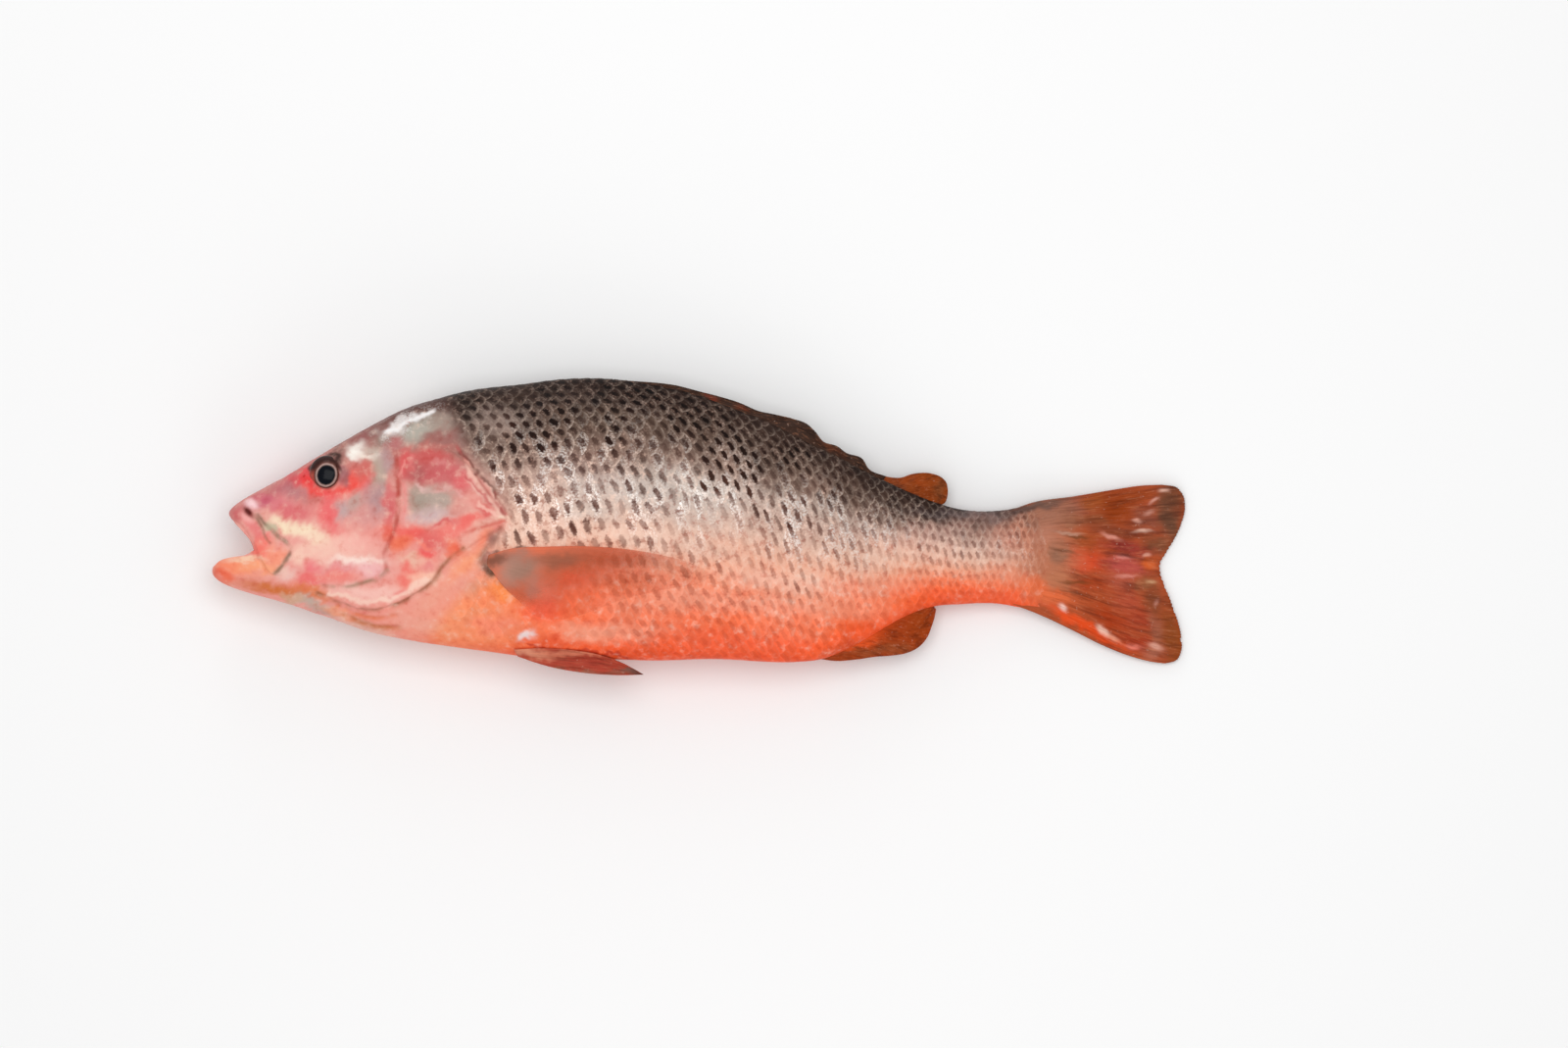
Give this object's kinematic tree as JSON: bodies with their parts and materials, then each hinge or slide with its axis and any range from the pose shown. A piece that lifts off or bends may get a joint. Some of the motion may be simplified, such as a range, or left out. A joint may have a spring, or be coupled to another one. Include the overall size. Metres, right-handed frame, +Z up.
{
  "type": "whole raw fish",
  "caption": "Whole raw red snapper, uncut, lying on its right side with the left flank up, mouth open, fins folded and the forked tail spread flat",
  "frame": {"origin": "middle of the box, on the floor that the fish lies on", "axes": "+X runs from the jaws to the tail fin, +Y from the belly to the back, +Z up out of the left flank"},
  "size_m": [0.5004, 0.1522, 0.0601],
  "materials": {
    "skin": "wet scaly skin",
    "eye": "clear and wet"
  },
  "bodies": {
    "root": {"fish": "skin", "eye_left": "eye", "eye_right": "eye"}
  },
  "joints": []
}
